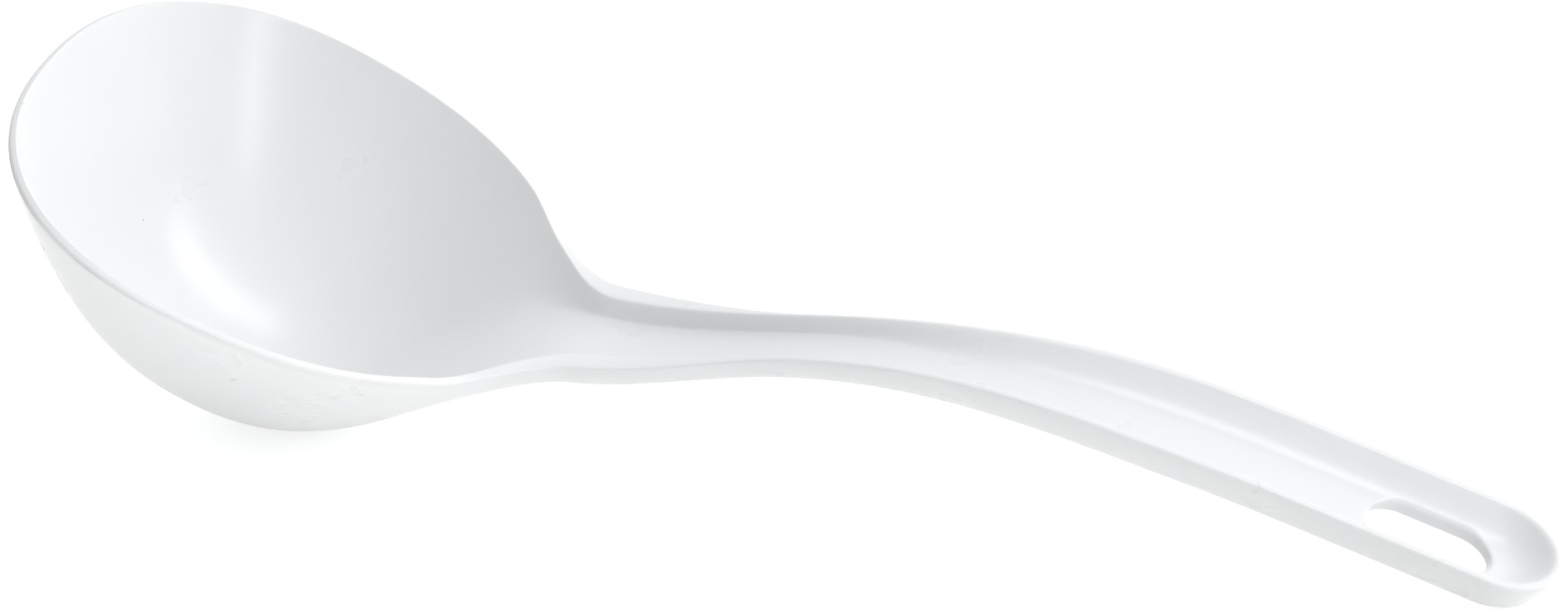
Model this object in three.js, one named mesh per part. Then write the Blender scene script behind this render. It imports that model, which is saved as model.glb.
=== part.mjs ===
// Plastic serving spoon, in millimetres with +Z up.
// It is one white moulding: a deep egg-shaped bowl, a throat, an arched handle with a
// channel along its top, and a round end with a hanging slot. The moulding is drawn with
// the bowl's rim level and X running from the bowl's centre to the handle's end. Then it
// is laid on a table, where it rests on the bottom of its bowl and on its handle's end.

import * as THREE from 'three';
import { LoftGeometry } from 'three/addons/geometries/LoftGeometry.js';

// Bowl, measured inside at the rim
const bowlLength = 93.9;
const bowlWidth = 85.5;
const bowlDepth = 41.3;
// Share by which the bowl is wider at its tip than at its middle
const bowlTaper = 0.09;
// Power of the rim's oval, where 2 is an ellipse and more is squarer
const bowlOvalPower = 2.26;
// Power of the bowl's section, where more is a flatter bottom with steeper sides
const bowlSectionPower = 2.2;

// Moulded thickness: at the bottom of the bowl, and across and down its rim's land
const bowlWall = 2.3;
const rimLand = 1.45;
const rimFall = 0.8;
// Thickness of the handle's floor, and across and down the top of its side lips, which are
// broad at the neck
const handleWeb = 2.2;
const neckLand = 4.8;
const neckFall = 0.1;
const lipLand = 1.7;
const lipFall = 0.3;

// Plan of the throat and handle, measured inside the lips, each place from the one before
const throatInset = 10.6;
const neckReach = 8.7;
const neckWidth = 17;
const neckTaper = -0.11;
const waistReach = 31.2;
const waistWidth = 12;
const gripReach = 65.7;
const gripWidth = 20.2;
const endReach = 48.6;

// Height of the rim and lips above the level rim, rising along the handle
const riseInset = 7.1;
const climbReach = 33.3;
const climbHeight = 22.5;
const climbSlope = 0.585;
const straightHeight = 46.1;
const straightSlope = 0.105;

// Channel along the handle: its depth below the lips, its flat floor's share of its width,
// and the power of the curve from floor to lip. It is a box at the neck and a dish along the
// grip, and the belly under it is nearly a box.
const neckChannel = 3.6;
const waistChannel = 3.3;
const gripChannel = 4.85;
const throatFloor = 0.3;
const throatPower = 2.2;
const neckFloor = 0.86;
const neckPower = 3;
const gripFloor = 0.3;
const gripPower = 2.3;
const bellyFloor = 0.6;
const bellyPower = 3.8;
const dishReach = 34;

// Ramp by which the channel's floor runs down into the bowl: its slopes at the neck and at
// the bowl, and the radius between them. It starts as a cut through the bowl's wall, ends as
// a fill on the bowl's floor, and turns from one to the other at its length from the neck.
const rampSlope = 0.45;
const rampSteepness = 1.25;
const rampBend = 27.5;
const rampLength = 15;
const rampRadius = 10;
const rampBlend = 3;
const creaseBlend = 1.2;

// Hanging slot, its distance from the lip at the handle's end, and the straight stretch of
// handle before it
const slotLength = 21.2;
const slotWidth = 11;
const slotInset = 8.8;
const slotLead = 9.7;

// Steps of the faceted surfaces
const rimSteps = 26;
const flareSteps = 6;
const bowlRows = 9;
const climbSteps = 6;
const neckSteps = 8;
const handleSteps = 16;
const endSideSteps = 6;
const endRoundSteps = 14;
const endRows = 4;

// Places along X that follow from those sizes
const bowlBack = bowlLength / 2;
const throatAt = bowlBack - throatInset;
const neckAt = bowlBack + neckReach;
const waistAt = neckAt + waistReach;
const gripAt = waistAt + gripReach;
const endAt = gripAt + endReach;
const riseAt = bowlBack - riseInset;
const climbAt = neckAt + climbReach;
const dishAt = waistAt + dishReach;
const rampAt = neckAt - rampLength;
const slotRound = slotWidth / 2;
const slotTo = endAt + gripWidth / 2 - slotInset;
const slotFrom = slotTo - slotLength;
const straightAt = slotFrom - slotLead;

// The moulding's two skins have one form: the outer one is larger by the thickness.
const inside = {
  land: 0,
  fall: 0,
  neck: 0,
  neckFall: 0,
  lip: 0,
  lipFall: 0,
  wall: 0,
  web: 0,
  neckFloor,
  neckPower,
  gripFloor,
  gripPower,
};
const outside = {
  land: rimLand,
  fall: rimFall,
  neck: neckLand,
  neckFall,
  lip: lipLand,
  lipFall,
  wall: bowlWall,
  web: handleWeb,
  neckFloor: bellyFloor,
  neckPower: bellyPower,
  gripFloor: bellyFloor,
  gripPower: bellyPower,
};

const { clamp, lerp, smoothstep } = THREE.MathUtils;

// Cubic curve from one value and slope to another
function sweep(x, from, to, startValue, endValue, startSlope, endSlope) {
  const length = to - from;
  const t = clamp((x - from) / length, 0, 1);
  const bend = t * (1 - t) * length;
  const slopes = bend * ((1 - t) * startSlope - t * endSlope);
  return lerp(startValue, endValue, t * t * (3 - 2 * t)) + slopes;
}

// The lower and the higher of two heights, with a rounded edge where they cross
function roundedLower(first, second, blend) {
  const near = Math.max(blend - Math.abs(first - second), 0);
  return Math.min(first, second) - (near * near) / (4 * blend);
}
const roundedHigher = (first, second, blend) => -roundedLower(-first, -second, blend);

// Half-width of the bowl's egg-shaped rim
function eggHalfWidth(x, skin) {
  const share = x / (bowlLength / 2 + skin.land);
  const oval = Math.max(0, 1 - Math.abs(share) ** bowlOvalPower) ** (1 / bowlOvalPower);
  return (bowlWidth / 2 + skin.land) * (1 - bowlTaper * share) * oval;
}

// Half-width of the whole plan, from the bowl's tip to the handle's round end
function halfWidth(x, skin) {
  const neck = neckWidth / 2 + skin.neck;
  const waist = waistWidth / 2 + skin.lip;
  const grip = gripWidth / 2 + skin.lip;
  if (x <= throatAt) return eggHalfWidth(x, skin);
  if (x <= neckAt) {
    const step = 0.01;
    const flare = (eggHalfWidth(throatAt, skin) - eggHalfWidth(throatAt - step, skin)) / step;
    return sweep(x, throatAt, neckAt, eggHalfWidth(throatAt, skin), neck, flare, neckTaper);
  }
  if (x <= waistAt) return sweep(x, neckAt, waistAt, neck, waist, neckTaper, 0);
  return sweep(x, waistAt, gripAt, waist, grip, 0, 0);
}

// How far the edge of a skin lies below the inner edge of the rim or lip
function edgeFall(x, skin) {
  const fall = lerp(skin.fall, skin.neckFall, smoothstep(x, throatAt, neckAt));
  return lerp(fall, skin.lipFall, smoothstep(x, neckAt, waistAt));
}

// Height of the inner edge of the rim and lips
function lipHeight(x) {
  if (x <= climbAt) return sweep(x, riseAt, climbAt, 0, climbHeight, 0, climbSlope);
  if (x >= straightAt) return straightHeight + straightSlope * (x - straightAt);
  return sweep(x, climbAt, straightAt, climbHeight, straightHeight, climbSlope, straightSlope);
}

// Height of the channel's floor, which carries on into the bowl as a ramp
function floorHeight(x, skin) {
  if (x < neckAt) {
    const run = neckAt - x;
    const bend = Math.min(run, (rampSteepness - rampSlope) * rampBend);
    const fall = rampSlope * run + (bend * (run - bend / 2)) / rampBend;
    return lipHeight(neckAt) - neckChannel - skin.web - fall;
  }
  const narrow = lerp(neckChannel, waistChannel, smoothstep(x, neckAt, waistAt));
  const depth = lerp(narrow, gripChannel, smoothstep(x, waistAt, gripAt));
  return lipHeight(x) - depth - skin.web;
}

// A value of the channel's section, which changes in the throat and along the dish
function sectionValue(x, throat, neck, grip) {
  const narrow = lerp(throat, neck, smoothstep(x, throatAt, neckAt));
  return lerp(narrow, grip, smoothstep(x, waistAt, dishAt));
}
const floorShare = (x, skin) => sectionValue(x, throatFloor, skin.neckFloor, skin.gripFloor);
const climbPower = (x, skin) => sectionValue(x, throatPower, skin.neckPower, skin.gripPower);

// Height of the channel, with its round end
function channelHeight(x, y, skin) {
  const reach = x > endAt ? Math.hypot(x - endAt, y) : Math.abs(y);
  const share = clamp(reach / halfWidth(Math.min(x, endAt), skin), 0, 1);
  const floor = floorShare(x, skin);
  const climb = Math.max(0, (share - floor) / (1 - floor)) ** climbPower(x, skin);
  return lerp(floorHeight(x, skin), lipHeight(x) - edgeFall(x, skin), climb);
}

// Height of the bowl, which falls from its rim to its centre
function bowlHeight(x, y, skin) {
  const along = x / (bowlLength / 2 + skin.land);
  const across = y / ((bowlWidth / 2 + skin.land) * (1 - bowlTaper * along));
  const ring = Math.abs(along) ** bowlOvalPower + Math.abs(across) ** bowlOvalPower;
  const share = ring ** (1 / bowlOvalPower);
  return lerp(-bowlDepth - skin.wall, -skin.fall, share ** bowlSectionPower);
}

// Height in the throat: the bowl's wall, cut by the channel and filled by the ramp
function throatHeight(x, y, skin) {
  const before = Math.max(0, rampAt - x);
  const after = Math.max(0, x - rampAt);
  const cut = channelHeight(x, y, skin) + (before * before) / (2 * rampRadius);
  const fill = floorHeight(x, skin) - (after * after) / (2 * rampRadius);
  const wall = roundedLower(bowlHeight(x, y, skin), cut, rampBlend);
  return roundedHigher(wall, fill, creaseBlend);
}

// A point of one skin over its place in the plan: the ramp ends before the bowl's centre
function skinPoint(x, y, skin) {
  if (x >= neckAt) return new THREE.Vector3(x, y, channelHeight(x, y, skin));
  if (x <= 0) return new THREE.Vector3(x, y, bowlHeight(x, y, skin));
  return new THREE.Vector3(x, y, throatHeight(x, y, skin));
}

// Shares from 0 to 1 in even steps, and in steps that get shorter towards 1
const evenShares = (steps) => Array.from({ length: steps + 1 }, (_, i) => i / steps);
const easedShares = (steps) => evenShares(steps).map((t) => Math.sin((t * Math.PI) / 2));

// Shares along the sides of the hanging end without their ends, and angles round its end
const endSideShares = evenShares(endSideSteps).slice(1, -1);
const endTurns = evenShares(endRoundSteps).map((t) => (0.5 - t) * Math.PI);

// Plan points of one straight line across the handle, from lip to lip: one flat facet for the
// floor, then points that lie closer towards the lips
function acrossLine(x, skin) {
  const climbs = easedShares(climbSteps).map((share) => lerp(floorShare(x, skin), 1, share));
  const shares = [...climbs.map((share) => -share).reverse(), ...climbs];
  return shares.map((share) => new THREE.Vector2(x, share * halfWidth(x, skin)));
}

// Closed section of the channel, square to X
function crossSection(x) {
  const upper = acrossLine(x, inside).map((p) => skinPoint(p.x, p.y, inside));
  const lower = acrossLine(x, outside).map((p) => skinPoint(p.x, p.y, outside));
  return [...lower, ...upper.reverse()];
}

// Plan outline of the bowl, from the neck along one side to the tip and back on the other
function bowlOutline(skin) {
  const reach = bowlLength / 2 + skin.land;
  const first = Math.acos((throatAt / reach) ** (bowlOvalPower / 2));
  const flare = evenShares(flareSteps).slice(0, -1).map((share) => lerp(neckAt, throatAt, share));
  const oval = evenShares(rimSteps).slice(0, -1).map((share) => {
    const turn = Math.cos(lerp(first, Math.PI, share));
    return reach * Math.sign(turn) * Math.abs(turn) ** (2 / bowlOvalPower);
  });
  const side = [...flare, ...oval];
  const right = side.map((x) => new THREE.Vector2(x, halfWidth(x, skin)));
  const left = side.map((x) => new THREE.Vector2(x, -halfWidth(x, skin))).reverse();
  return [...right, new THREE.Vector2(-reach, 0), ...left, ...acrossLine(neckAt, skin).slice(1, -1)];
}

// Closed loops of the bowl, growing from one point at its centre through circles to its rim
function bowlLoops(skin) {
  const outline = bowlOutline(skin);
  return easedShares(bowlRows).map((share) => outline.map((p) => {
    const plan = p.clone().setLength(share * lerp(bowlWidth / 2, p.length(), share));
    return skinPoint(plan.x, plan.y, skin);
  }));
}

// Plan outline of the hanging end: across its start, along one side, round the end and back
function endOutline(skin) {
  const half = halfWidth(endAt, skin);
  const side = endSideShares.map((share) => lerp(straightAt, endAt, share));
  return [
    ...acrossLine(straightAt, skin),
    ...side.map((x) => new THREE.Vector2(x, halfWidth(x, skin))),
    ...endTurns.map((turn) => new THREE.Vector2(endAt + half * Math.cos(turn), half * Math.sin(turn))),
    ...side.reverse().map((x) => new THREE.Vector2(x, -halfWidth(x, skin))),
  ];
}

// Plan outline of the slot, point by point beside the hanging end's outline
function slotOutline() {
  const first = slotFrom + slotRound;
  const last = slotTo - slotRound;
  const side = endSideShares.map((share) => lerp(first, last, share));
  const startTurns = evenShares(2 * climbSteps + 1).map((t) => (t - 0.5) * Math.PI);
  const around = (centre, turn, way) =>
    new THREE.Vector2(centre + way * slotRound * Math.cos(turn), slotRound * Math.sin(turn));
  return [
    ...startTurns.map((turn) => around(first, turn, -1)),
    ...side.map((x) => new THREE.Vector2(x, slotRound)),
    ...endTurns.map((turn) => around(last, turn, 1)),
    ...side.reverse().map((x) => new THREE.Vector2(x, -slotRound)),
  ];
}

// Closed loops of the hanging end, growing from the slot to the lip
function endLoops(skin) {
  const outer = endOutline(skin);
  const inner = slotOutline();
  return easedShares(endRows).map((share) => inner.map((p, i) => {
    const plan = p.clone().lerp(outer[i], share);
    return skinPoint(plan.x, plan.y, skin);
  }));
}

// Sections of the channel at even steps
function channelSections(from, to, steps) {
  return evenShares(steps).map((share) => crossSection(lerp(from, to, share)));
}

const whitePlastic = { color: 0xf3f4f5, roughness: 0.28, metalness: 0 };

function addSection(name, geometry) {
  const mesh = new THREE.Mesh(geometry, new THREE.MeshStandardMaterial(whitePlastic));
  mesh.name = name;
  moulding.add(mesh);
}

const moulding = new THREE.Group();

// Bowl: up the outside, over the rim's land and down the inside
const bowlSections = [...bowlLoops(outside), ...bowlLoops(inside).reverse()];
addSection('bowl', new LoftGeometry(bowlSections));

// Neck: from the bowl's throat to the narrowest place
const neckSections = channelSections(neckAt, waistAt, neckSteps);
addSection('neck', new LoftGeometry(neckSections, { capStart: true, capEnd: true }));

// Handle: from the narrowest place over the hump to the straight end
const handleSections = channelSections(waistAt, straightAt, handleSteps);
addSection('handle', new LoftGeometry(handleSections, { capStart: true, capEnd: true }));

// Hanging end: from the slot's edge out over the lip, back underneath and up the slot's wall
const upperLoops = endLoops(inside);
const endSections = [...upperLoops, ...endLoops(outside).reverse(), upperLoops[0]];
addSection('hanging_end', new LoftGeometry(endSections));

// Lowest point of the underside between two places, when the moulding is tilted
function lowestPoint(tilt, from, to) {
  const step = 0.25;
  let lowest = Infinity;
  for (let x = from; x <= to; x += step) {
    const height = skinPoint(x, 0, outside).z;
    lowest = Math.min(lowest, height * Math.cos(tilt) - x * Math.sin(tilt));
  }
  return lowest;
}

// Tilt at which the bowl and the handle's end touch the table together
function restingTilt() {
  let level = 0;
  let steep = Math.PI / 4;
  for (let i = 0; i < 40; i++) {
    const tilt = (level + steep) / 2;
    const bowl = lowestPoint(tilt, -bowlBack, bowlBack);
    const end = lowestPoint(tilt, straightAt, endAt + gripWidth / 2 + lipLand);
    if (end > bowl) level = tilt;
    else steep = tilt;
  }
  return (level + steep) / 2;
}

moulding.rotation.y = restingTilt();
const box = new THREE.Box3().setFromObject(moulding, true);
const spoon = new THREE.Group();
spoon.add(moulding);
spoon.position.set(-(box.min.x + box.max.x) / 2, 0, -box.min.z);

export default spoon;
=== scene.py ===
from types import SimpleNamespace

import bmesh
import bpy
import numpy as np
from mathutils import Matrix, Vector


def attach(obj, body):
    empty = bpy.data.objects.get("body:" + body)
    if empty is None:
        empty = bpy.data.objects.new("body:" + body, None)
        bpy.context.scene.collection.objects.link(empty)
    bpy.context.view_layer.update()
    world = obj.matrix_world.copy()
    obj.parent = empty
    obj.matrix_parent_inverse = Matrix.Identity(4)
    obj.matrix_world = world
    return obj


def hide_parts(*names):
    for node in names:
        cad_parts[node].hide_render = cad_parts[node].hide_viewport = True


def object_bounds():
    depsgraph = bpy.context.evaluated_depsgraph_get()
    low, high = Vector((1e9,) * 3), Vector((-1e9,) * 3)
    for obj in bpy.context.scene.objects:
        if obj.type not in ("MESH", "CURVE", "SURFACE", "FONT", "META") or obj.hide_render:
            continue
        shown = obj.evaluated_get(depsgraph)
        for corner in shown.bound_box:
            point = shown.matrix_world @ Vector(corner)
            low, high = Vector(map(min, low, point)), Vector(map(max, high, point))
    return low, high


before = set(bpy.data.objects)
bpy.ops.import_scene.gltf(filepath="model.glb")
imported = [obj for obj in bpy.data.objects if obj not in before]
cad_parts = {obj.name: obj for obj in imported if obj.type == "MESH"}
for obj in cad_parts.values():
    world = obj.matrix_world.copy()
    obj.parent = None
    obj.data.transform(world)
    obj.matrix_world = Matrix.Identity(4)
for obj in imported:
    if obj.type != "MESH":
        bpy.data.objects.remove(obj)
cad_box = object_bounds()

# Bowl
# The deep egg-shaped end that holds the food. The whole spoon is one piece of glossy white
# plastic, injection moulded in a two-part tool, and the bowl ends at the flat face where
# its throat runs on into the neck. Lengths are in millimetres with the rim level.

bowl_length = 93.9
bowl_width = 85.5
bowl_depth = 41.3
bowl_taper = 0.09
bowl_oval_power = 2.26
bowl_section_power = 2.2
bowl_wall = 2.3
rim_land = 1.45
rim_fall = 0.8
throat_inset = 10.6
throat_floor = 0.3
throat_power = 2.2
ramp_slope = 0.45
ramp_steepness = 1.25
ramp_bend = 27.5
ramp_length = 15.0
ramp_radius = 10.0
ramp_blend = 3.0
crease_blend = 1.2
neck_reach = 8.7
neck_width = 17.0
neck_taper = -0.11
neck_land = 4.8
neck_fall = 0.1
neck_channel = 3.6
neck_floor = 0.86
neck_power = 3.0
waist_reach = 31.2
waist_width = 12.0
waist_channel = 3.3
lip_land = 1.7
lip_fall = 0.3
handle_web = 2.2
grip_reach = 65.7
grip_width = 20.2
grip_channel = 4.85
grip_floor = 0.3
grip_power = 2.3
belly_floor = 0.6
belly_power = 3.8
dish_reach = 34.0
end_reach = 48.6
rise_inset = 7.1
climb_reach = 33.3
climb_height = 22.5
climb_slope = 0.585
straight_height = 46.1
straight_slope = 0.105
slot_length = 21.2
slot_width = 11.0
slot_inset = 8.8
slot_lead = 9.7

bowl_back = bowl_length / 2
throat_at = bowl_back - throat_inset
neck_at = bowl_back + neck_reach
waist_at = neck_at + waist_reach
grip_at = waist_at + grip_reach
end_at = grip_at + end_reach
rise_at = bowl_back - rise_inset
climb_at = neck_at + climb_reach
dish_at = waist_at + dish_reach
ramp_at = neck_at - ramp_length
slot_to = end_at + grip_width / 2 - slot_inset
slot_from = slot_to - slot_length
straight_at = slot_from - slot_lead

inside = SimpleNamespace(
    land=0.0, fall=0.0, neck_land=0.0, neck_fall=0.0, lip_land=0.0, lip_fall=0.0, wall=0.0, web=0.0,
    neck_floor=neck_floor, neck_power=neck_power, grip_floor=grip_floor, grip_power=grip_power)
outside = SimpleNamespace(
    land=rim_land, fall=rim_fall, neck_land=neck_land, neck_fall=neck_fall, lip_land=lip_land,
    lip_fall=lip_fall, wall=bowl_wall, web=handle_web, neck_floor=belly_floor,
    neck_power=belly_power, grip_floor=belly_floor, grip_power=belly_power)


def mix(first, second, share):
    """The value that lies the given share of the way from the first to the second."""
    return first + (second - first) * share


def ease(x, start, stop):
    """0 before start, 1 after stop, and 3 t squared less 2 t cubed between them."""
    t = np.clip((x - start) / (stop - start), 0, 1)
    return t * t * (3 - 2 * t)


def sweep(x, start, stop, first, last, first_slope, last_slope):
    """Cubic curve from a first value and slope to a last value and slope."""
    length = stop - start
    t = np.clip((x - start) / length, 0, 1)
    bend = t * (1 - t) * length * ((1 - t) * first_slope - t * last_slope)
    return mix(first, last, ease(x, start, stop)) + bend


def rounded_lower(first, second, blend):
    """The lower of two heights, less a parabola where they differ by less than blend."""
    near = np.maximum(blend - np.abs(first - second), 0)
    return np.minimum(first, second) - near ** 2 / (4 * blend)


def rounded_higher(first, second, blend):
    """The higher of two heights, with a parabola added where they differ by less than blend."""
    return -rounded_lower(-first, -second, blend)


def egg_half_width(x, skin):
    """Half-width of a superellipse in x that widens evenly towards the bowl's tip."""
    share = x / (bowl_back + skin.land)
    oval = np.maximum(0, 1 - np.abs(share) ** bowl_oval_power) ** (1 / bowl_oval_power)
    return (bowl_width / 2 + skin.land) * (1 - bowl_taper * share) * oval


def half_width(x, skin):
    """Half-width of the plan: the bowl's egg, then cubic curves by way of neck, waist and grip."""
    neck = neck_width / 2 + skin.neck_land
    waist = waist_width / 2 + skin.lip_land
    grip = grip_width / 2 + skin.lip_land
    step = 0.01
    throat = egg_half_width(throat_at, skin)
    flare = (throat - egg_half_width(throat_at - step, skin)) / step
    return np.select(
        [x <= throat_at, x <= neck_at, x <= waist_at],
        [egg_half_width(x, skin), sweep(x, throat_at, neck_at, throat, neck, flare, neck_taper),
         sweep(x, neck_at, waist_at, neck, waist, neck_taper, 0)],
        sweep(x, waist_at, grip_at, waist, grip, 0, 0))


def lip_height(x):
    """Height of the inner edge: level round the bowl, then two cubic curves, then straight."""
    climb = sweep(x, rise_at, climb_at, 0, climb_height, 0, climb_slope)
    arch = sweep(x, climb_at, straight_at, climb_height, straight_height, climb_slope, straight_slope)
    straight = straight_height + straight_slope * (x - straight_at)
    return np.select([x <= climb_at, x <= straight_at], [climb, arch], straight)


def edge_fall(x, skin):
    """How far a skin's edge lies below the inner edge, eased from bowl to neck to waist."""
    fall = mix(skin.fall, skin.neck_fall, ease(x, throat_at, neck_at))
    return mix(fall, skin.lip_fall, ease(x, neck_at, waist_at))


def floor_height(x, skin):
    """Height of the channel's floor: its depth below the lips, or a ramp before the neck whose
    slope grows evenly to its full steepness."""
    run = np.maximum(0, neck_at - x)
    bend = np.minimum(run, (ramp_steepness - ramp_slope) * ramp_bend)
    fall = ramp_slope * run + bend * (run - bend / 2) / ramp_bend
    depth = mix(neck_channel, waist_channel, ease(x, neck_at, waist_at))
    depth = mix(depth, grip_channel, ease(x, waist_at, grip_at))
    return lip_height(np.maximum(x, neck_at)) - depth - fall - skin.web


def section_value(x, throat, neck, grip):
    """A value of the channel's section, eased through the throat and along the dish."""
    return mix(mix(throat, neck, ease(x, throat_at, neck_at)), grip, ease(x, waist_at, dish_at))


def channel_height(x, y, skin):
    """Height of the channel: a flat floor, then a power of the way out to the lip."""
    reach = np.where(x > end_at, np.hypot(x - end_at, y), np.abs(y))
    share = np.clip(reach / np.maximum(half_width(np.minimum(x, end_at), skin), 1e-6), 0, 1)
    floor = section_value(x, throat_floor, skin.neck_floor, skin.grip_floor)
    power = section_value(x, throat_power, skin.neck_power, skin.grip_power)
    climb = np.maximum(0, (share - floor) / (1 - floor)) ** power
    return mix(floor_height(x, skin), lip_height(x) - edge_fall(x, skin), climb)


def bowl_height(x, y, skin):
    """Height of the bowl: a power of the distance from its centre, measured in rims."""
    along = x / (bowl_back + skin.land)
    across = y / ((bowl_width / 2 + skin.land) * (1 - bowl_taper * along))
    ring = np.abs(along) ** bowl_oval_power + np.abs(across) ** bowl_oval_power
    share = ring ** (1 / bowl_oval_power)
    return mix(-bowl_depth - skin.wall, -skin.fall, share ** bowl_section_power)


def skin_points(x, y, skin):
    """Points of one skin over plan points: the bowl, the channel, and between them the bowl's wall
    cut by the channel and filled by the ramp, with a rounded edge and crease."""
    x, y = np.broadcast_arrays(np.asarray(x, float), np.asarray(y, float))
    channel = channel_height(x, y, skin)
    bowl = bowl_height(np.minimum(x, neck_at), y, skin)
    cut = channel + np.maximum(0, ramp_at - x) ** 2 / (2 * ramp_radius)
    fill = floor_height(x, skin) - np.maximum(0, x - ramp_at) ** 2 / (2 * ramp_radius)
    throat = rounded_higher(rounded_lower(bowl, cut, ramp_blend), fill, crease_blend)
    height = np.select([x >= neck_at, x <= 0], [channel, bowl], throat)
    return np.stack([x, y, height], -1)


resting_tilt = np.radians(23.21307)
resting_shift = np.array([-85.33956, 0.0, 43.02247])
millimetre = 0.001


def laid_on_table(points):
    """Points turned about Y by the tilt at which the spoon rests, moved over the origin, in metres."""
    x, y, z = np.moveaxis(points, -1, 0)
    turned = np.stack([
        np.cos(resting_tilt) * x + np.sin(resting_tilt) * z, y,
        np.cos(resting_tilt) * z - np.sin(resting_tilt) * x], -1)
    low, high = (np.array(corner) for corner in cad_box)
    return np.clip((turned + resting_shift) * millimetre, low, high)


rim_soft_inside = 0.25
rim_soft_outside = 0.8
neck_soft = 0.5
lip_soft = 0.6
round_steps = 7
parting_row = 13


def softness(x, rim_soft):
    """How far the rounding of an edge reaches, eased from bowl to neck to waist."""
    soft = mix(rim_soft, neck_soft, ease(x, throat_at, neck_at))
    return mix(soft, lip_soft, ease(x, neck_at, waist_at))


def rounded_edge(upper, top, bottom, lower, top_soft, bottom_soft):
    """Band over an edge, row by row: a parabola from the upper skin to the land between the top
    and bottom corners, the flat of the land, and a parabola on to the lower skin."""
    length = np.linalg.norm(bottom - top, axis=-1)
    first = mix(top, bottom, np.minimum(0.5, top_soft / length)[:, None])
    last = mix(bottom, top, np.minimum(0.5, bottom_soft / length)[:, None])
    t = np.linspace(0, 1, round_steps)[:, None, None]
    over = (1 - t) ** 2 * upper + 2 * t * (1 - t) * top + t ** 2 * first
    under = (1 - t) ** 2 * last + 2 * t * (1 - t) * bottom + t ** 2 * lower
    flat = mix(first, last, np.linspace(0, 1, 5)[1:-1, None, None])
    return np.concatenate([over, flat, under])


def edge_shares(band):
    """1 over a band and 2 on the row where the halves of the tool part."""
    shares = np.ones(band.shape[:2])
    shares[parting_row] = 2
    return shares


floor_steps = np.linspace(0, 1, 9)
climb_steps = np.sin(np.linspace(0, np.pi / 2, 33))[1:]
across_count = 2 * (len(floor_steps) + len(climb_steps)) - 1


def across_line(x, skin, rim_soft):
    """Points of one skin straight across the channel, between the roundings of its lips."""
    floor = section_value(x, throat_floor, skin.neck_floor, skin.grip_floor)[:, None]
    half = np.concatenate([floor * floor_steps, mix(floor, 1, climb_steps)], 1)
    shares = np.concatenate([-half[:, :0:-1], half], 1)
    reach = half_width(x, skin) - softness(x, rim_soft)
    return skin_points(x[:, None], reach[:, None] * shares, skin)


def lip_band(x, side):
    """Rounded edge of the lip on one side, at places along X."""
    inner, outer = half_width(x, inside), half_width(x, outside)
    inner_soft, outer_soft = softness(x, rim_soft_inside), softness(x, rim_soft_outside)
    return rounded_edge(
        skin_points(x, side * (inner - inner_soft), inside), skin_points(x, side * inner, inside),
        skin_points(x, side * outer, outside), skin_points(x, side * (outer - outer_soft), outside),
        inner_soft, outer_soft)


def cross_sections(x):
    """Closed sections square to X: across the inside, over one lip, back outside, over the other."""
    over, back = (np.swapaxes(lip_band(x, side), 0, 1)[:, 1:-1] for side in (1, -1))
    upper = across_line(x, inside, rim_soft_inside)
    lower = across_line(x, outside, rim_soft_outside)[:, ::-1]
    lip = edge_shares(lip_band(x, 1)).T[:, 1:-1]
    edge = np.concatenate([np.zeros(upper.shape[:2]), lip, np.zeros(lower.shape[:2]), lip[:, ::-1]], 1)
    return np.concatenate([upper, over, lower, back[:, ::-1]], 1), edge


def grid_corners(rows, columns, ring):
    """Corner numbers of the quads of a grid, whose columns close into a ring or don't."""
    number = np.arange(rows * columns).reshape(rows, columns)
    number = np.concatenate([number, number[:, :1]], 1) if ring else number
    return np.stack([number[:-1, :-1], number[:-1, 1:], number[1:, 1:], number[1:, :-1]], -1).reshape(-1, 4)


def moulded_piece(name, patches, end_loops):
    """One closed mesh: grids of points with their edge share, joined where they meet, and a flat
    face in each end loop. A quad whose first side has no length becomes a triangle."""
    points = laid_on_table(np.concatenate([grid.reshape(-1, 3) for grid, _, _ in patches] + end_loops))
    sizes = [share.size for _, share, _ in patches] + [len(loop) for loop in end_loops]
    starts = np.cumsum([0] + sizes)
    edge = np.concatenate(
        [share.reshape(-1) for _, share, _ in patches] + [np.zeros(len(loop)) for loop in end_loops])
    corners = np.concatenate([
        grid_corners(*share.shape, ring) + start for (_, share, ring), start in zip(patches, starts)])
    _, kept, joined = np.unique(
        np.round(points / 1e-8).astype(np.int64), axis=0, return_index=True, return_inverse=True)
    joined = joined.reshape(-1)
    corners = joined[corners]
    pinched = corners[:, 0] == corners[:, 1]
    ends = [joined[start:start + len(loop)].tolist() for loop, start in zip(end_loops, starts[len(patches):])]
    mesh = bpy.data.meshes.new(name)
    mesh.from_pydata(
        points[kept].tolist(), [], corners[~pinched].tolist() + corners[pinched][:, 1:].tolist() + ends)
    mesh.attributes.new("edge", "FLOAT", "POINT").data.foreach_set("value", edge[kept].astype(np.float32))
    shell = bmesh.new()
    shell.from_mesh(mesh)
    bmesh.ops.recalc_face_normals(shell, faces=shell.faces)
    shell.to_mesh(mesh)
    shell.free()
    mesh.shade_smooth()
    mesh.set_sharp_from_angle(angle=np.radians(75))
    piece = bpy.data.objects.new(name, mesh)
    bpy.context.scene.collection.objects.link(piece)
    return piece


joint_step = 0.04
flare_steps = 44
oval_steps = 116
bowl_rows = 72


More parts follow.
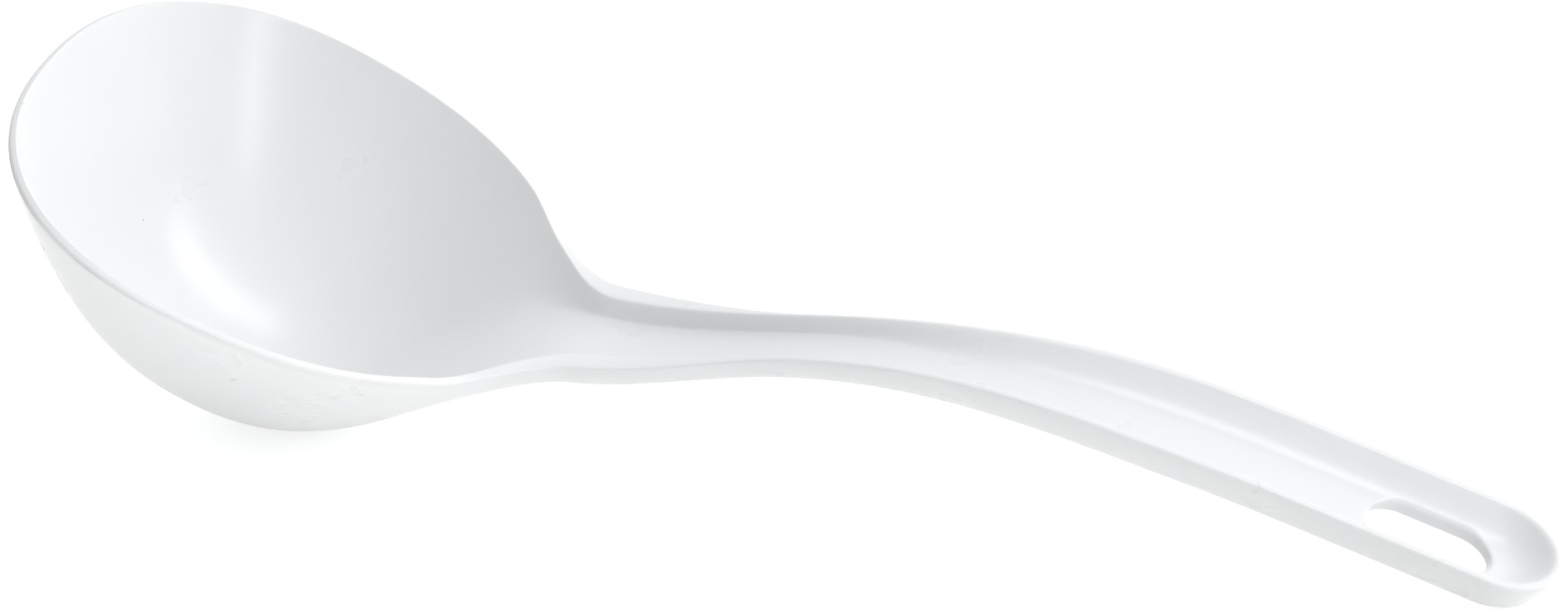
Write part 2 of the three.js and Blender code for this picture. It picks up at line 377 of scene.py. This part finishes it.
def bowl_side_places(skin):
    """Places along X of one side's rim, from the neck to the tip, closer where the rim turns."""
    reach = bowl_back + skin.land
    first = np.arccos((throat_at / reach) ** (bowl_oval_power / 2))
    turn = np.cos(np.linspace(first, np.pi, oval_steps + 1))
    oval = reach * np.sign(turn) * np.abs(turn) ** (2 / bowl_oval_power)
    flare = np.linspace(neck_at, throat_at, flare_steps, endpoint=False)
    return np.concatenate([[neck_at, neck_at - joint_step], flare[1:], oval])


def rim_outline(skin):
    """Plan points of the rim from one side of the neck round the tip to the other side, and the
    inward directions there: square to the rim, and turned to straight across at the neck."""
    x = bowl_side_places(skin)
    side = np.stack([x, half_width(x, skin)], -1)
    side[-1, 1] = 0
    outline = np.concatenate([side, side[-2::-1] * [1, -1]])
    along = np.gradient(outline, axis=0)
    inward = np.stack([-along[:, 1], along[:, 0]], -1)
    inward /= np.linalg.norm(inward, axis=1, keepdims=True)
    straight = np.stack([np.zeros(len(outline)), -np.sign(outline[:, 1])], -1)
    inward = mix(inward, straight, ease(outline[:, 0], throat_at, neck_at)[:, None])
    return outline, inward / np.linalg.norm(inward, axis=1, keepdims=True)


def bowl_fan(skin, rim_soft):
    """One skin of the bowl: rays from its centre to the rounding of its rim and to the neck's
    line, along which circles turn into the outline as the square of the way."""
    outline, inward = rim_outline(skin)
    rim = outline + inward * softness(outline[:, 0], rim_soft)[:, None]
    neck = across_line(np.array([neck_at]), skin, rim_soft)[0, 1:-1, :2]
    border = np.concatenate([rim, neck])
    reach = np.linalg.norm(border, axis=1)
    share = np.sin(np.linspace(0, np.pi / 2, bowl_rows))[:, None]
    plan = border / reach[:, None] * (share * mix(bowl_width / 2, reach, share))[..., None]
    fan = skin_points(plan[..., 0], plan[..., 1], skin)
    return fan, np.zeros(fan.shape[:2]), True


def rim_band():
    """Rounded edge of the bowl's rim from one side of the neck round the tip to the other."""
    (inner, inner_way), (outer, outer_way) = rim_outline(inside), rim_outline(outside)
    inner_soft = softness(inner[:, 0], rim_soft_inside)
    outer_soft = softness(outer[:, 0], rim_soft_outside)
    upper, lower = inner + inner_way * inner_soft[:, None], outer + outer_way * outer_soft[:, None]
    height = skin_points(*inner.T, inside)
    fall = skin_points(*outer.T, outside)
    band = rounded_edge(
        skin_points(*upper.T, inside), height, fall, skin_points(*lower.T, outside), inner_soft, outer_soft)
    return band, edge_shares(band), False


neck_loop = cross_sections(np.array([neck_at]))[0][0]
bowl = moulded_piece(
    "spoon_bowl",
    [bowl_fan(inside, rim_soft_inside), bowl_fan(outside, rim_soft_outside), rim_band()], [neck_loop])

# Glossy white plastic, coloured right through. The polished tool leaves a faint unevenness,
# washing and stacking leave hairlines and duller edges, and a few dark specks are moulded in.
# Near the bowl's tip a dark line of painted shade runs along the line where the halves of the tool part.
plastic = bpy.data.materials.new("white_plastic")
plastic.use_nodes = True
nodes, links = plastic.node_tree.nodes, plastic.node_tree.links
shader = nodes["Principled BSDF"]
shader.inputs["IOR"].default_value = 1.49
place = nodes.new("ShaderNodeTexCoord")


def noise(scale, detail, vector=None):
    """Noise on Object coordinates, at a number of grains to the metre."""
    node = nodes.new("ShaderNodeTexNoise")
    node.inputs["Scale"].default_value = scale
    node.inputs["Detail"].default_value = detail
    links.new(vector or place.outputs["Object"], node.inputs["Vector"])
    return node.outputs["Fac"]


def spread(value, low, high, first, last):
    """A value's range from low to high, carried over to the range from first to last."""
    node = nodes.new("ShaderNodeMapRange")
    for socket, number in zip(("From Min", "From Max", "To Min", "To Max"), (low, high, first, last)):
        node.inputs[socket].default_value = number
    links.new(value, node.inputs["Value"])
    return node.outputs["Result"]


def arithmetic(operation, first, second):
    """A sum, product or comparison of a value with another value or a number."""
    node = nodes.new("ShaderNodeMath")
    node.operation = operation
    links.new(first, node.inputs[0])
    if isinstance(second, (int, float)):
        node.inputs[1].default_value = second
    else:
        links.new(second, node.inputs[1])
    return node.outputs["Value"]


def mixed_colour(share, first, second):
    """Colour that goes from the first to the second as the share goes from 0 to 1."""
    node = nodes.new("ShaderNodeMix")
    node.data_type = "RGBA"
    links.new(share, node.inputs["Factor"])
    for socket, colour in ((node.inputs[6], first), (node.inputs[7], second)):
        if isinstance(colour, tuple):
            socket.default_value = (*colour, 1)
        else:
            links.new(colour, socket)
    return node.outputs[2]


edge_share = nodes.new("ShaderNodeAttribute")
edge_share.attribute_name = "edge"
mottle = spread(noise(28, 3), 0.3, 0.7, 0, 1)
clean = mixed_colour(mottle, (0.857, 0.868, 0.874), (0.869, 0.878, 0.882))

speck_cells = nodes.new("ShaderNodeTexVoronoi")
speck_cells.inputs["Scale"].default_value = 110
links.new(place.outputs["Object"], speck_cells.inputs["Vector"])
speck_lot = nodes.new("ShaderNodeSeparateColor")
links.new(speck_cells.outputs["Color"], speck_lot.inputs["Color"])
speck = arithmetic("MULTIPLY", spread(speck_cells.outputs["Distance"], 0.01, 0.022, 1, 0),
                   arithmetic("GREATER_THAN", speck_lot.outputs["Red"], 0.8))
along = nodes.new("ShaderNodeSeparateXYZ")
links.new(place.outputs["Object"], along.inputs["Vector"])
# Painted shade: a dark line on the row where the tool's halves part, broken up by noise and kept to the
# bowl's tip, stands in for the shade along that edge.
painted_line_shade = spread(edge_share.outputs["Fac"], 1.6, 1.85, 0, 0.8)
painted_parting_shade = arithmetic("MULTIPLY", painted_line_shade, spread(noise(60, 2), 0.42, 0.55, 0, 1))
painted_parting_shade = arithmetic("MULTIPLY", painted_parting_shade, spread(along.outputs["X"], -0.115, -0.085, 1, 0))
flawed = mixed_colour(speck, clean, (0.4, 0.36, 0.3))
# The painted parting-line shade darkens the colour there to nearly black.
links.new(mixed_colour(painted_parting_shade, flawed, (0.12, 0.12, 0.12)), shader.inputs["Base Color"])

hairline_grain = nodes.new("ShaderNodeMapping")
hairline_grain.inputs["Rotation"].default_value = (0, 0, 0.5)
hairline_grain.inputs["Scale"].default_value = (22, 900, 300)
links.new(place.outputs["Object"], hairline_grain.inputs["Vector"])
hairlines = spread(noise(1, 2, hairline_grain.outputs["Vector"]), 0.66, 0.74, 0, 1)
dulled = arithmetic("MULTIPLY", edge_share.outputs["Fac"], spread(noise(160, 3), 0.35, 0.65, 0, 0.02))
roughness = arithmetic("ADD", spread(noise(45, 4), 0.2, 0.8, 0.265, 0.295), dulled)
roughness = arithmetic("ADD", roughness, arithmetic("MULTIPLY", hairlines, 0.03))
links.new(roughness, shader.inputs["Roughness"])

relief = nodes.new("ShaderNodeBump")
relief.inputs["Strength"].default_value = 0.2
relief.inputs["Distance"].default_value = 0.00004
unevenness = arithmetic("ADD", noise(650, 2), arithmetic("MULTIPLY", hairlines, -0.06))
links.new(unevenness, relief.inputs["Height"])
links.new(relief.outputs["Normal"], shader.inputs["Normal"])

bowl.data.materials.append(plastic)
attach(bowl, "root")
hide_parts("bowl")

# Neck
# The channel that leaves the bowl between two broad lips and narrows to the waist. It is
# moulded with the bowl and the handle, and meets each of them at a flat face.
neck_steps = 76


def joined_places(start, stop, steps):
    """Even places along X from start to stop, with a short step at each joint."""
    inner = np.linspace(start, stop, steps)[1:-1]
    return np.concatenate([[start, start + joint_step], inner, [stop - joint_step, stop]])


def channel_piece(name, start, stop, steps):
    """Closed length of the channel between two flat faces."""
    sections, edge = cross_sections(joined_places(start, stop, steps))
    return moulded_piece(name, [(sections, edge, True)], [sections[0], sections[-1]])


neck = channel_piece("spoon_neck", neck_at, waist_at, neck_steps)
neck.data.materials.append(plastic)
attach(neck, "root")
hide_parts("neck")

# Handle
# The arched grip: the same channel, which widens and deepens from the waist over the hump.
# It is moulded with its neighbours, and its belly is rounded for the hand.
handle_steps = 150

handle = channel_piece("spoon_handle", waist_at, straight_at, handle_steps)
handle.data.materials.append(plastic)
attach(handle, "root")
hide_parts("handle")

# Hanging end
# The straight last stretch with a round end, dished inside, and pierced by a long slot that
# a peg goes through. A pin in the tool forms the slot, and its edges are slightly rounded.
slot_soft = 0.8
end_side_steps = 48
end_round_steps = 72
end_rows = 34
slot_round = slot_width / 2
end_side = joined_places(straight_at, end_at, end_side_steps)
end_turn = np.linspace(np.pi / 2, -np.pi / 2, end_round_steps + 1)


def end_outline(skin, inset):
    """Plan points of the lip from one side of the start round the end to the other side, moved
    straight inwards."""
    reach = half_width(end_side, skin) - inset
    side = np.stack([end_side, reach], -1)
    turned = np.stack([end_at + reach[-1] * np.cos(end_turn), reach[-1] * np.sin(end_turn)], -1)
    return np.concatenate([side[:-1], turned, side[-2::-1] * [1, -1]])


def slot_outline(outset):
    """Plan points of the slot, moved outwards, one for each point of the end's border."""
    radius = slot_round + outset
    first, last = slot_from + slot_round, slot_to - slot_round
    side = np.stack([np.linspace(first, last, len(end_side)), np.full(len(end_side), radius)], -1)
    turned = np.stack([last + radius * np.cos(end_turn), radius * np.sin(end_turn)], -1)
    start_turn = np.linspace(-np.pi / 2, np.pi / 2, across_count)[1:-1]
    start = np.stack([first - radius * np.cos(start_turn), radius * np.sin(start_turn)], -1)
    return np.concatenate([side[:-1], turned, side[-2::-1] * [1, -1], start])


def end_ring(skin, rim_soft):
    """One skin of the hanging end: straight lines in plan from the slot to the lip and the start."""
    start = across_line(np.array([straight_at]), skin, rim_soft)[0, 1:-1, :2]
    border = np.concatenate([end_outline(skin, lip_soft), start])
    share = (1 - np.cos(np.linspace(0, np.pi, end_rows)))[:, None, None] / 2
    plan = mix(slot_outline(slot_soft), border, share)
    ring = skin_points(plan[..., 0], plan[..., 1], skin)
    return ring, np.zeros(ring.shape[:2]), True


def end_band():
    """Rounded edge of the lip round the hanging end."""
    count = 2 * (len(end_side) - 1) + len(end_turn)
    soft = np.full(count, lip_soft)
    band = rounded_edge(
        skin_points(*end_outline(inside, lip_soft).T, inside), skin_points(*end_outline(inside, 0).T, inside),
        skin_points(*end_outline(outside, 0).T, outside),
        skin_points(*end_outline(outside, lip_soft).T, outside),
        soft, soft)
    return band, edge_shares(band), False


def slot_wall():
    """Wall of the slot with both its edges rounded."""
    soft = np.full(len(slot_outline(0)), slot_soft)
    wall = rounded_edge(
        skin_points(*slot_outline(slot_soft).T, inside), skin_points(*slot_outline(0).T, inside),
        skin_points(*slot_outline(0).T, outside), skin_points(*slot_outline(slot_soft).T, outside),
        soft, soft)
    return wall, np.ones(wall.shape[:2]), True


start_loop = cross_sections(np.array([straight_at]))[0][0]
hanging_end = moulded_piece(
    "spoon_hanging_end",
    [end_ring(inside, rim_soft_inside), end_ring(outside, rim_soft_outside), end_band(), slot_wall()],
    [start_loop])
hanging_end.data.materials.append(plastic)
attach(hanging_end, "root")
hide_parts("hanging_end")

# Table
# A matt white sheet under the spoon. It takes the spoon's shadow and throws light back up,
# and it looks plain white where the camera sees it bare.
table_reach = 3.0
table_mesh = bpy.data.meshes.new("table")
table_mesh.from_pydata(
    [(-table_reach, -table_reach, 0), (table_reach, -table_reach, 0), (table_reach, table_reach, 0),
     (-table_reach, table_reach, 0)], [], [(0, 1, 2, 3)])
table = bpy.data.objects.new("table", table_mesh)
bpy.context.scene.collection.objects.link(table)


def seen_plainly(tree):
    """Share of 1 for rays from the camera, from gloss and through clear things, and 0 for light."""
    path = tree.nodes.new("ShaderNodeLightPath")
    seen = path.outputs["Is Camera Ray"]
    for name in ("Is Glossy Ray", "Is Transmission Ray"):
        either = tree.nodes.new("ShaderNodeMath")
        either.operation = "MAXIMUM"
        tree.links.new(seen, either.inputs[0])
        tree.links.new(path.outputs[name], either.inputs[1])
        seen = either.outputs["Value"]
    return seen


sheet = bpy.data.materials.new("white_sheet")
sheet.use_nodes = True
sheet_nodes, sheet_links = sheet.node_tree.nodes, sheet.node_tree.links
sheet_shader = sheet_nodes["Principled BSDF"]
sheet_shader.inputs["Base Color"].default_value = (0.93, 0.93, 0.925, 1)
sheet_shader.inputs["Roughness"].default_value = 0.9
sheet_shader.inputs["Specular IOR Level"].default_value = 0.1
glow = sheet_nodes.new("ShaderNodeMath")
glow.operation = "MULTIPLY"
glow.inputs[1].default_value = 0.6
sheet_links.new(seen_plainly(sheet.node_tree), glow.inputs[0])
sheet_shader.inputs["Emission Color"].default_value = (1, 1, 1, 1)
sheet_links.new(glow.outputs["Value"], sheet_shader.inputs["Emission Strength"])
table_mesh.materials.append(sheet)

# Studio
# White walls light the spoon softly, most from behind it and little from the front. A tall
# softbox stands on the handle's side, a narrow one in front of it, and a lamp hung over the
# sheet in front of the spoon sends light back up under the bowl and the handle.
studio = bpy.data.worlds.new("studio")
bpy.context.scene.world = studio
studio.use_nodes = True
studio_nodes, studio_links = studio.node_tree.nodes, studio.node_tree.links


def vector_step(operation, first, second):
    """A direction compared or multiplied with a fixed vector."""
    node = studio_nodes.new("ShaderNodeVectorMath")
    node.operation = operation
    node.inputs[1].default_value = second
    studio_links.new(first, node.inputs[0])
    return node.outputs["Value" if operation == "DOT_PRODUCT" else "Vector"]


way = studio_nodes.new("ShaderNodeTexCoord").outputs["Generated"]
ahead = vector_step("DOT_PRODUCT", vector_step("MAXIMUM", way, (0, 0, 0)), (0, 1.78, 0.08))
behind = vector_step("DOT_PRODUCT", vector_step("MINIMUM", way, (0, 0, 0)), (-0.09, -0.4, 0))
walls = studio_nodes.new("ShaderNodeMath")
studio_links.new(ahead, walls.inputs[0])
studio_links.new(behind, walls.inputs[1])
around = studio_nodes["Background"]
around.inputs["Color"].default_value = (0.98, 0.99, 1.0, 1)
studio_links.new(walls.outputs["Value"], around.inputs["Strength"])
white = studio_nodes.new("ShaderNodeBackground")
white.inputs["Strength"].default_value = 1.0
either = studio_nodes.new("ShaderNodeMixShader")
studio_links.new(seen_plainly(studio.node_tree), either.inputs["Fac"])
studio_links.new(around.outputs["Background"], either.inputs[1])
studio_links.new(white.outputs["Background"], either.inputs[2])
studio_links.new(either.outputs["Shader"], studio_nodes["World Output"].inputs["Surface"])


def soft_lamp(name, turn, rise, reach, width, height, watts):
    """Rectangular lamp that faces the spoon from a turn and a rise in degrees, at a reach."""
    turn, rise = np.radians([turn, rise])
    light = bpy.data.lights.new(name, "AREA")
    light.shape = "RECTANGLE"
    light.size, light.size_y = width, height
    light.energy = watts
    lamp = bpy.data.objects.new(name, light)
    lamp.location = reach * np.array([
        np.sin(turn) * np.cos(rise), -np.cos(turn) * np.cos(rise), np.sin(rise)])
    lamp.rotation_euler = (-lamp.location).to_track_quat("-Z", "Y").to_euler()
    bpy.context.scene.collection.objects.link(lamp)
    return lamp


soft_lamp("tall_softbox", 95, 52, 1.75, 0.7, 2.2, 20.0)
soft_lamp("narrow_softbox", 33, 15, 1.4, 0.2, 0.8, 3.0)
sheet_lamp = soft_lamp("sheet_lamp", 0, 90, 0.5, 0.6, 0.24, 0.5)
sheet_lamp.location.x = 0.08
sheet_lamp.location.y = -0.25
sheet_lamp.data.spread = np.radians(30)

# Camera
# It looks down on the spoon from the handle's side of its front, as in the photo.
camera_turn, camera_rise, camera_roll = np.radians([16.8309, 32.7938, -0.9727])
camera_distance = 0.69871
camera_aim = np.array([-0.00028, 0.0, 0.03336])
back = np.array([
    np.sin(camera_turn) * np.cos(camera_rise), -np.cos(camera_turn) * np.cos(camera_rise),
    np.sin(camera_rise)])
level = np.array([np.cos(camera_turn), np.sin(camera_turn), 0])
upright = np.cross(back, level)
right = np.cos(camera_roll) * level + np.sin(camera_roll) * upright
camera_data = bpy.data.cameras.new("camera")
camera_data.lens = 97.43
camera_data.sensor_width = 36
camera_data.sensor_fit = "HORIZONTAL"
camera_data.clip_start = 0.01
camera = bpy.data.objects.new("camera", camera_data)
camera.matrix_world = Matrix.Translation(camera_aim + back * camera_distance) @ Matrix(
    np.stack([right, np.cross(back, right), back], -1).tolist()).to_4x4()
bpy.context.scene.collection.objects.link(camera)
bpy.context.scene.camera = camera
bpy.context.scene.view_settings.view_transform = "Standard"
